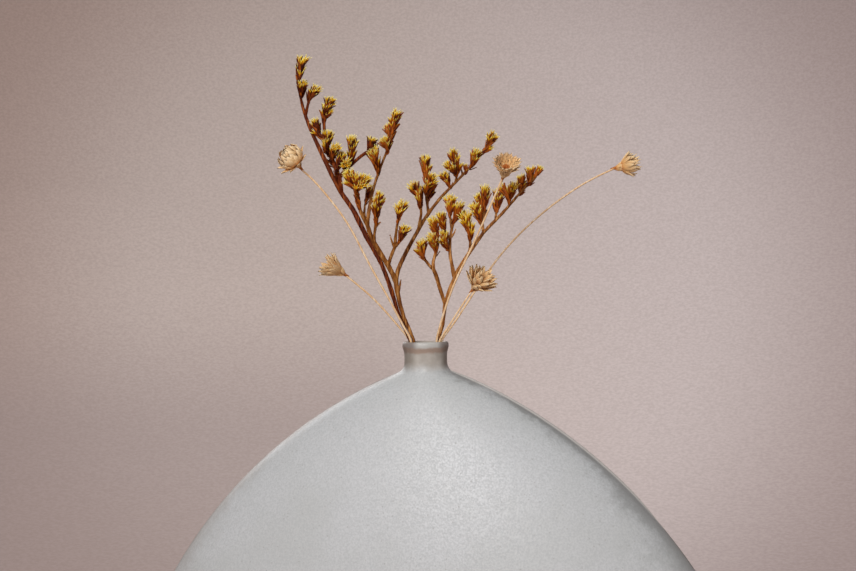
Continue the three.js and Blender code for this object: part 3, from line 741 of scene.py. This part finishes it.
def build_straw_stem(number, straw):
    node = f"straw_flower_{number}_stem"
    stem = copy_of_node(node, f"straw_stalk_{number}")
    apply_modifier(stem, "SUBSURF", levels=2, render_levels=2)
    bpy.ops.object.shade_smooth()
    stem.data.materials.append(straw)
    finish_piece(stem, "straw_stem", node)
    return stem


STRAW_FLOWERS = range(1, 6)
straw_stalk = stalk_wood(
    "straw_stalk", tint(224, 180, 132), tint(243, 209, 164), tint(253, 238, 212))
sprigs = {side: build_branch(side) for side in WOOD_TONES}
straw_stems = {number: build_straw_stem(number, straw_stalk) for number in STRAW_FLOWERS}


# ------------ flowers, made singly

def dressed(piece, skin, across=lambda co: 0.0):
    """Gives a part its skin, and a UV map: V runs from base to tip and U is across(co)."""
    mesh = piece.data
    layer = mesh.uv_layers.active or mesh.uv_layers.new(name="lengthwise")
    bottom = min(vert.co.z for vert in mesh.vertices)
    top = max(vert.co.z for vert in mesh.vertices)
    for loop in mesh.loops:
        co = mesh.vertices[loop.vertex_index].co
        layer.data[loop.index].uv = (across(co), (co.z - bottom) / (top - bottom))
    mesh.materials.append(skin)
    return piece


def round_levels(levels):
    return [(r * MM, r * MM, Vector((0, 0, z * MM))) for r, z in levels]


def shape_rod(name, levels, sides, skin):
    """A round closed rod of changing girth. A level is (radius, up) in mm."""
    rings = round_levels(levels)
    rod = new_disc(name, sides, rings[0])
    raise_cap(rings)
    face_outwards()
    bpy.ops.object.shade_smooth()
    return dressed(rod, skin)


CALYX_SIDES = 10


def shape_calyx(name, levels, valley, drop, cloth):
    """A papery star on a narrow tube, with five slim points round a hollow mouth.

    Between them its rim is drawn in to the share valley, and lowered by drop in mm.
    """
    rings = round_levels(levels)
    calyx = new_disc(name, CALYX_SIDES, rings[0])
    raise_cap(rings)
    top = rings[-1][2].z

    def bearing(vert):
        return round(math.atan2(vert.co.y, vert.co.x), 3)

    rim = [v for v in bmesh.from_edit_mesh(calyx.data).verts if abs(v.co.z - top) < TINY]
    valleys = set(sorted(bearing(v) for v in rim)[::2])
    pick(calyx, verts=lambda v: abs(v.co.z - top) < TINY and bearing(v) in valleys)
    bpy.ops.transform.resize(value=(valley, valley, 1), center_override=(0, 0, top))
    bpy.ops.transform.translate(value=(0, 0, -drop * MM))
    pick(calyx, faces=lambda face: (
        len(face.verts) == CALYX_SIDES and face.calc_center_median().z > top / 2))
    throat = (0, 0, top - (drop + 0.3) * MM)
    bpy.ops.mesh.extrude_region_move(TRANSFORM_OT_translate={"value": (0, 0, -0.12 * MM)})
    bpy.ops.transform.resize(value=(0.8, 0.8, 1), center_override=throat)
    bpy.ops.mesh.extrude_region_move(TRANSFORM_OT_translate={"value": (0, 0, -0.05 * MM)})
    bpy.ops.transform.resize(value=(0.3, 0.3, 0.08), center_override=throat)
    face_outwards()
    bpy.ops.object.shade_smooth_by_angle(angle=math.radians(50))
    return dressed(calyx, cloth)


def shape_scale(name, sections, cup, skin, sides=6):
    """A thin pointed scale, hollowed by cup in mm.

    A section is (half-width, half-thickness, outwards, up) in mm.
    """
    levels = [(t * MM, w * MM, Vector((x * MM, 0, z * MM))) for w, t, x, z in sections]
    scale = new_disc(name, sides, levels[0])
    thickness, width, foot = levels[0]
    bpy.ops.transform.rotate(value=math.pi / 2, orient_axis="Z", center_override=foot)
    bpy.ops.transform.resize(
        value=(thickness / width, width / thickness, 1), center_override=foot)
    raise_cap(levels)
    half = {round(level[2].z, 6): level[1] for level in levels}
    pick(scale, verts=lambda v: abs(v.co.y) > 0.8 * half.get(round(v.co.z, 6), 1))
    bpy.ops.transform.translate(value=(-cup * MM, 0, 0))
    face_outwards()
    bpy.ops.object.shade_smooth()
    widest = max(level[1] for level in levels)
    return dressed(scale, skin, lambda co: 0.5 + 0.498 * co.y / widest)


def planted(model, base, along, outwards, girth, length, lean, tone):
    """A copy of a flower part with its own mesh and tone, that stands on base.

    It points along, its outer side turned outwards. Girth and length multiply the model's.
    """
    across = along.cross(outwards).normalized()
    turn = Matrix((across.cross(along), across, along)).transposed().to_4x4()
    size = Matrix.Diagonal((girth, girth, length, 1))
    mesh = model.data.copy()
    mesh.transform(Matrix.Translation(base) @ turn @ Matrix.Rotation(lean, 4, "Y") @ size)
    for loop_uv in mesh.uv_layers.active.data:
        loop_uv.uv.x += tone
    piece = bpy.data.objects.new(model.name + "_copy", mesh)
    bpy.context.scene.collection.objects.link(piece)
    return piece


def cup_of(node, centre_height):
    """Base, direction, length and mouth radius of a CAD cup, from the symmetry of its corners."""
    corners = {tuple(round(part, 6) for part in vert.co): vert.co.copy()
               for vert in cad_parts[node].data.vertices}
    corners = list(corners.values())
    middle = sum(corners, Vector()) / len(corners)

    def unevenness(corner):
        distances = sorted((other - corner).length for other in corners)
        return sum(1 for a, b in zip(distances, distances[1:]) if b - a > 0.02 * MM)

    on_axis = sorted(corners, key=unevenness)[:2]
    base, centre = sorted(on_axis, key=lambda corner: -(corner - middle).length)
    along = (centre - base).normalized()
    length = (centre - base).length / centre_height
    mouth = max(((corner - base) - along * (corner - base).dot(along)).length
                for corner in corners)
    return base, along, length, mouth


class Spine:
    """The line a flower is built on: down its stalk below the base, straight out above it."""

    STEP = 1.1 * MM

    def __init__(self, stalk_points, base, along, depth):
        self.base, self.along = base, along
        self.below = [base]
        heading = -along
        for _ in range(math.ceil(depth / self.STEP) + 1):
            guess = self.below[-1] + heading * self.STEP
            near = [point for point, _, _ in stalk_points.find_range(guess, 1.3 * MM)]
            if near:
                guess = guess.lerp(sum(near, Vector()) / len(near), 0.8)
            heading = (guess - self.below[-1]).normalized()
            self.below.append(self.below[-1] + heading * self.STEP)

    def at(self, distance):
        """The point and the upward direction at a distance above the base, or below it."""
        if distance >= 0:
            return self.base + self.along * distance, self.along
        index = min(int(-distance / self.STEP), len(self.below) - 2)
        high, low = self.below[index], self.below[index + 1]
        return high.lerp(low, -distance / self.STEP - index), (high - low).normalized()


def points_of(piece):
    tree = KDTree(len(piece.data.vertices))
    for vert in piece.data.vertices:
        tree.insert(vert.co, vert.index)
    tree.balance()
    return tree


def outwards_at(along, angle):
    side = along.orthogonal().normalized()
    return side * math.cos(angle) + along.cross(side) * math.sin(angle)


calyx_finish = calyx_cloth()
bract_finish = bract_skin()
open_calyx = shape_calyx(
    "open_calyx", ((0.3, 0), (0.42, 2.0), (0.5, 3.4), (0.58, 4.2), (1.5, 7.2)),
    0.38, 2.5, calyx_finish)
slim_calyx = shape_calyx(
    "slim_calyx", ((0.28, 0), (0.42, 2.2), (0.48, 3.6), (0.5, 4.4), (0.95, 7.2)),
    0.46, 2.4, calyx_finish)
small_bract = shape_scale(
    "small_bract", ((0.5, 0.18, 0.3, 0), (0.85, 0.18, 0.62, 1.2), (0.98, 0.16, 0.85, 2.6),
                    (0.82, 0.13, 1.0, 3.9), (0.42, 0.1, 1.15, 5.1), (0.06, 0.05, 1.35, 6.2)),
    0.35, bract_finish)
spikelet_axis = shape_rod(
    "spikelet_axis", ((0.6, 0), (0.85, 1.2), (0.8, 3.5), (0.6, 6.0), (0.25, 7.2)), 6, bract_finish)
CALYX_LENGTH = 7.2 * MM
BRACT_LENGTH = 6.2 * MM
AXIS_LENGTH = 7.2 * MM
# A CAD spikelet's hub lies at this share of its length, and a CAD straw head's at this.
SPIKELET_HUB = 0.9
HEAD_HUB = 0.5

# By sprig and spikelet: how far the florets reach down the stalk in mm, how golden and open
# they are, and whether the gold lies towards one side, from -1 for left to 1 for right.
ORDINARY = (0.4, 0.35, 0)
SPIKELETS = {
    "left": {
        1: (1.0, 0.6, 1), 2: (0.0, 0.0, 0.6), 3: (1.0, 0.3, 0.4), 4: (3.6, 0.3, 0),
        6: (0.5, 0.5, 0), 7: (0.0, 0.9, 0), 8: (0.5, 0.6, 0), 9: (0.5, 1.0, 0),
        10: (0.5, 0.4, 0), 11: (0.0, 0.1, 0.4)},
    "middle": {
        1: (3.5, 0.6, 0), 2: (1.5, 1.0, 0), 3: (0.5, 0.8, 0), 4: (0.0, 0.1, 0.4),
        5: (0.0, 0.1, 0), 6: (0.0, 0.0, 0), 7: (4.5, 0.4, -0.4), 8: (2.0, 0.3, 0),
        9: (0.8, 0.9, 0), 10: (0.5, 0.2, 0), 11: (0.0, 0.4, -1), 12: (1.5, 0.3, 0.5),
        13: (2.0, 0.9, 1), 14: (0.5, 0.2, 0), 16: (2.5, 0.3, 0.6), 17: (0.0, 0.5, 0),
        18: (0.0, 0.3, 0), 19: (3.5, 0.7, 0)},
    "right": {
        1: (0.5, 0.4, 0), 2: (0.4, 0.35, -1), 3: (0.0, 0.5, 0), 4: (0.0, 0.5, 0),
        6: (0.8, 0.9, 0), 7: (1.5, 0.2, -0.6), 8: (0.5, 0.9, 0), 9: (1.0, 0.3, 0.5),
        10: (0.5, 0.8, 0), 12: (0.5, 0.5, 0), 13: (0.0, 0.1, -0.5), 14: (0.5, 0.3, 0),
        15: (0.4, 0.35, -0.8)},
}
# How far bracts wrap the stalk below a spikelet's florets, in mm.
ORDINARY_SHEATH = 4.0
SHEATHS = {
    "left": {5: 6.0, 6: 6.0, 7: 7.0, 8: 7.0},
    "middle": {1: 11.0, 2: 10.0, 3: 6.0, 4: 6.0, 8: 6.0},
    "right": {},
}
# How far the bracts of a sprig lie towards their palest tone.
BRACT_PALENESS = {"left": -0.72, "middle": -0.25, "right": -0.05}
# Small shoots beside a spikelet, in mm: base and tip as distances across, back and up from
# the spikelet's base, and the shoot's radius.
SHOOTS = {
    ("left", 4): ((-0.6, 0.4, -3.4), (2.4, -0.6, -0.6), 1.2),
    ("middle", 1): ((-0.6, 0, -1.6), (-4.4, -0.6, 4.8), 1.6),
    ("middle", 18): ((-3.0, 0.2, -3.0), (-3.2, 0, 0.2), 0.8),
    ("right", 16): ((2.6, -1.2, 1.6), (5.0, -1.4, 5.4), 1.3),
}
# A brush's florets: how many and how long they may be, how far the topmost stand above the
# cup, how far their roots lie from the spine, and the length of a full-grown one.
FLORET_COUNTS = (6, 22)
FLORET_SIZES = (3.6 * MM, 6.8 * MM)
TOP_REACH = 1.3 * MM
ROOT_OFFSET = 0.3 * MM
FULL_LENGTH = 5.0 * MM


def build_florets(spine, length, mouth, depth, gold, golden_side, paleness, luck):
    """A brush of florets round a spine, each a calyx with dark bracts on its outer side."""
    parts = []
    start = luck.uniform(0, math.tau)
    count = kept_within(round((length + depth) / MM + mouth / MM * 2.2), *FLORET_COUNTS)
    longest = kept_within(0.62 * length + 1.6 * MM, *FLORET_SIZES)
    lowest = min(0.55 * length, 4.4 * MM) - depth
    for index in range(count):
        rise = ((index + 0.5) / count) ** 0.75
        height = lowest + (length + TOP_REACH - lowest) * rise + luck.uniform(-0.5, 0.3) * MM
        size = longest * luck.uniform(0.88, 1.08)
        spin = start + index * GOLDEN_ANGLE
        shade = outwards_at(spine.along, spin).dot(ACROSS) * golden_side
        own_gold = kept_within(gold + 0.5 * shade, 0.0, 1.0)
        reach = mouth * (0.6 + 0.4 * rise) * luck.uniform(0.85, 1.05) * (1 + 0.15 * shade)
        if index % 3 == 2:
            reach = mouth * luck.uniform(0.0, 0.5)
            height += 0.3 * MM
        lean = math.asin(kept_within((reach - ROOT_OFFSET) / size, 0.02, 0.6))
        middle, up = spine.at(height - size * math.cos(lean))
        out = outwards_at(up, spin)
        heading = (up * math.cos(lean) + out * math.sin(lean)).normalized()
        root = middle + out * ROOT_OFFSET
        calyx = open_calyx if luck.random() < 0.2 + 0.6 * own_gold else slim_calyx
        scale = min(1, size / FULL_LENGTH)
        girth = (0.9 + 0.2 * own_gold) * luck.uniform(0.85, 1.1) * scale
        parts.append(planted(
            calyx, root, heading, out, girth, size / CALYX_LENGTH, 0.0,
            luck.uniform(0, 1.0 - 0.6 * own_gold) * (1.3 - 0.6 * rise)))
        for bract in range(2 if luck.random() < 1.0 - 0.6 * own_gold else 1):
            cover = luck.uniform(0.64, 0.76) + 0.36 * (1 - own_gold) * (1 - 0.55 * rise)
            side = outwards_at(heading, luck.uniform(-0.4, 0.4)) if bract else out
            girth = luck.uniform(0.78, 1.0) * (1.2 - 0.25 * own_gold) * scale
            parts.append(planted(
                small_bract, root, heading, side, girth, cover * size / BRACT_LENGTH,
                luck.uniform(-0.02, 0.05), luck.random() + paleness))
    return parts


def build_axis(foot, along, girth, length, luck):
    """The short woody core that a brush of florets stands on."""
    return planted(spikelet_axis, foot, along, along.orthogonal(), girth, length / AXIS_LENGTH,
                   0.0, luck.random() - 0.3)


def build_sheath(spine, depth, paleness, luck):
    """Narrow bracts that wrap the stalk below a spikelet."""
    parts = []
    start = luck.uniform(0, math.tau)
    count = round(depth / MM * 1.7)
    for index in range(count):
        middle, up = spine.at(0.8 * MM - depth * (index + luck.uniform(0.5, 1.2)) / count)
        out = outwards_at(up, start + index * GOLDEN_ANGLE)
        parts.append(planted(
            small_bract, middle + out * 0.28 * MM, up, out, luck.uniform(0.66, 0.9),
            luck.uniform(0.46, 0.62), luck.uniform(0.0, 0.10), luck.random() + paleness))
    return parts


def build_spikelet(node, side, number, stalk_points, luck):
    """A packed brush of florets on the CAD cup's axis, with bracts down its stalk."""
    base, along, length, mouth = cup_of(node, SPIKELET_HUB)
    depth, gold, golden_side = SPIKELETS[side].get(number, ORDINARY)
    paleness = BRACT_PALENESS[side]
    sheath = depth + SHEATHS[side].get(number, ORDINARY_SHEATH)
    spine = Spine(stalk_points, base, along, sheath * MM + 3 * MM)
    parts = build_sheath(spine, sheath * MM, paleness, luck)
    sunk = 1.2 * MM
    parts.append(build_axis(base - along * sunk, along, 0.9, 0.72 * length + sunk, luck))
    parts += build_florets(spine, length, mouth, depth * MM, gold, golden_side, paleness, luck)
    if (side, number) in SHOOTS:
        foot, tip, radius = SHOOTS[side, number]
        foot, tip = (base + (ACROSS * u + AWAY * v + UP * t) * MM for u, v, t in (foot, tip))
        length = (tip - foot).length
        shoot = Spine(stalk_points, foot, (tip - foot).normalized(), 0)
        parts.append(build_axis(foot, shoot.along, 0.6, 0.7 * length, luck))
        parts += build_florets(shoot, length, radius * MM, 0, gold, golden_side, paleness, luck)
    finish_piece(join_as(f"calyx_cluster_{side}_{number:02}", parts), "statice_calyx", node)


luck = random.Random(7)
stalk_points = {side: points_of(sprig) for side, sprig in sprigs.items()}
for node in sorted(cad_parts):
    if "_spikelet_" in node:
        _, side, _, number = node.split("_")
        build_spikelet(node, side, int(number), stalk_points[side], luck)


# ------------ straw flower heads

straw_finish = straw_paper()
heart_finish = straw_heart()
bowed = shape_scale(
    "bowed_straw_bract",
    ((0.5, 0.12, 0.35, 0), (1.0, 0.12, 1.4, 0.9), (1.45, 0.12, 2.5, 2.5), (1.7, 0.11, 3.1, 4.5),
     (1.55, 0.10, 3.1, 6.5), (0.95, 0.08, 2.5, 8.3), (0.1, 0.04, 1.8, 9.4)), 0.5, straw_finish, 8)
spread = shape_scale(
    "spread_straw_bract",
    ((0.45, 0.12, 0.3, 0), (0.85, 0.12, 0.8, 1.2), (1.25, 0.11, 1.2, 3.4), (1.4, 0.10, 1.5, 5.8),
     (1.1, 0.08, 1.65, 8.0), (0.5, 0.06, 1.7, 9.5), (0.05, 0.03, 1.85, 10.4)), 0.4, straw_finish, 8)
fine = shape_scale(
    "fine_straw_bract",
    ((0.3, 0.10, 0.3, 0), (0.5, 0.10, 0.75, 1.5), (0.66, 0.09, 1.1, 4.0), (0.55, 0.07, 1.3, 7.0),
     (0.28, 0.05, 1.5, 9.0), (0.04, 0.03, 1.7, 10.4)), 0.2, straw_finish)
receptacle = shape_rod(
    "straw_receptacle",
    ((0.5, -4.2), (0.6, -3.0), (0.85, -1.6), (1.3, -0.4), (1.7, 0.8), (1.6, 1.8), (0.9, 2.4)),
    8, heart_finish)


def shape_heart(skin):
    """The domed middle of a straw flower, bristling with short points."""
    middle = (0, 0, 2.0 * MM)
    bpy.ops.object.select_all(action="DESELECT")
    bpy.ops.mesh.primitive_ico_sphere_add(subdivisions=2, radius=2.2 * MM, location=middle)
    heart = bpy.context.object
    heart.name = "straw_heart"
    bpy.ops.object.transform_apply(location=True)
    start_edit(heart)
    bpy.ops.mesh.select_all(action="SELECT")
    bpy.ops.transform.resize(value=(1, 1, 0.55), center_override=middle)
    pick(heart, faces=lambda face: face.normal.z > 0.1)
    bpy.ops.mesh.extrude_faces_move(TRANSFORM_OT_shrink_fatten={"value": -0.7 * MM})
    bpy.ops.mesh.merge(type="COLLAPSE")
    face_outwards()
    return dressed(heart, skin)


straw_heart_model = shape_heart(heart_finish)

# How a straw flower's head is set: its turn in the viewer's plane, its tilt towards the
# viewer, how much its lower bracts keep of their lean, how high its heart sits, and how far
# the whole head is lifted off the CAD cup's base, both in mm. Its rows run from the outside
# in: model, how many, height of their roots in mm, lean, length, girth and unevenness.
HEADS = {
    1: (0.2, 0.3, 1.0, 3.5, 2.2, (
        (spread, 9, 1.2, 0.94, 0.86, 0.95, 0.12),
        (bowed, 10, 1.8, 0.52, 0.84, 1.15, 0.12),
        (bowed, 9, 2.5, 0.40, 0.84, 1.20, 0.12),
        (bowed, 8, 3.0, 0.22, 0.80, 1.20, 0.14),
        (bowed, 7, 3.3, 0.04, 0.76, 1.05, 0.16),
        (bowed, 5, 3.6, -0.12, 0.72, 0.85, 0.16),
        (bowed, 3, 3.8, -0.20, 0.66, 0.65, 0.12))),
    2: (0.19, 0.0, 0.45, 0.5, 0.2, (
        (spread, 12, 0.0, 0.58, 0.94, 0.95, 0.08),
        (fine, 14, 0.4, 0.54, 1.00, 1.4, 0.08),
        (spread, 10, 0.7, 0.40, 1.02, 0.80, 0.08),
        (spread, 8, 0.9, 0.22, 0.98, 0.80, 0.08))),
    3: (0.06, 0.72, 0.6, 4.6, 0.4, (
        (spread, 15, -0.2, 0.28, 0.70, 1.05, 0.04),
        (spread, 16, 2.0, 0.46, 0.86, 1.10, 0.05),
        (spread, 15, 2.7, 0.54, 0.88, 1.00, 0.06),
        (fine, 20, 3.1, 0.66, 0.80, 1.5, 0.06),
        (fine, 15, 3.4, 0.74, 0.59, 1.3, 0.08),
        (fine, 8, 3.6, 0.55, 0.38, 1.1, 0.10))),
    4: (0.0, 0.1, 0.75, 1.4, 0, (
        (spread, 10, 0.4, 0.86, 0.94, 1.10, 0.10),
        (spread, 11, 0.8, 0.64, 0.98, 1.15, 0.10),
        (spread, 10, 1.2, 0.42, 1.00, 1.10, 0.10),
        (spread, 7, 1.6, 0.18, 0.88, 1.00, 0.10))),
    5: (-0.04, 0.1, 1.0, 2.4, 0, (
        (spread, 11, 1.0, 0.58, 0.86, 0.90, 0.14),
        (bowed, 11, 1.4, 0.44, 0.92, 0.85, 0.08),
        (spread, 12, 1.8, 0.28, 0.92, 0.85, 0.08),
        (fine, 10, 2.2, 0.12, 0.90, 1.3, 0.08))),
}
# The small bracts that hide where a head meets its stem.
FOOT_BRACTS = 9


def build_straw_head(number, stem_points, luck):
    """A cup of papery bracts in rows round a small bristly heart, drawn in to its stem."""
    node = f"straw_flower_{number}_head"
    base, along, _, _ = cup_of(node, HEAD_HUB)
    turn, tilt, droop, heart, lift, rows = HEADS[number]
    base = base + along * lift * MM
    foot, _ = Spine(stem_points, base, along, 5 * MM).at(-1.2 * MM)
    along = (Matrix.Rotation(turn, 3, -AWAY) @ along - AWAY * tilt).normalized()
    side = along.orthogonal()
    start = luck.uniform(0, math.tau)
    to_head = (base + along * 1.5 * MM - foot).normalized()
    parts = [
        planted(straw_heart_model, base + along * heart * MM, along, side, 0.8, 0.6, 0.0, 0.0),
        planted(receptacle, foot + to_head * 1.8 * MM, to_head, side, 1.0, 1.0, 0.0, 0.5)]
    for row, (model, bracts, rise, lean, length, girth, uneven) in enumerate(rows):
        for index in range(bracts):
            spin = start + math.tau * (index + 0.5 * (row % 2) + luck.uniform(-0.2, 0.2)) / bracts
            out = outwards_at(along, spin)
            leaning = lean * (1 - (1 - droop) * max(0, -out.z)) + luck.uniform(-uneven, uneven)
            parts.append(planted(
                model, base + along * rise * MM, along, out, girth * luck.uniform(0.9, 1.08),
                length * luck.uniform(0.92, 1.04), leaning, luck.randrange(1, 90)))
    for index in range(FOOT_BRACTS):
        out = outwards_at(to_head, start + index * GOLDEN_ANGLE)
        parts.append(planted(
            spread, foot + to_head * luck.uniform(-0.4, 0.8) * MM, to_head, out, 0.8,
            luck.uniform(0.32, 0.46), luck.uniform(0.15, 0.4), luck.randrange(1, 90)))
    finish_piece(join_as(f"straw_head_{number}", parts), "straw_bract", node)


luck = random.Random(13)
for number in STRAW_FLOWERS:
    build_straw_head(number, points_of(straw_stems[number]), luck)

# The models that were copied are not part of the piece.
for model in (open_calyx, slim_calyx, small_bract, spikelet_axis, bowed, spread, fine, receptacle,
              straw_heart_model):
    bpy.data.objects.remove(model)
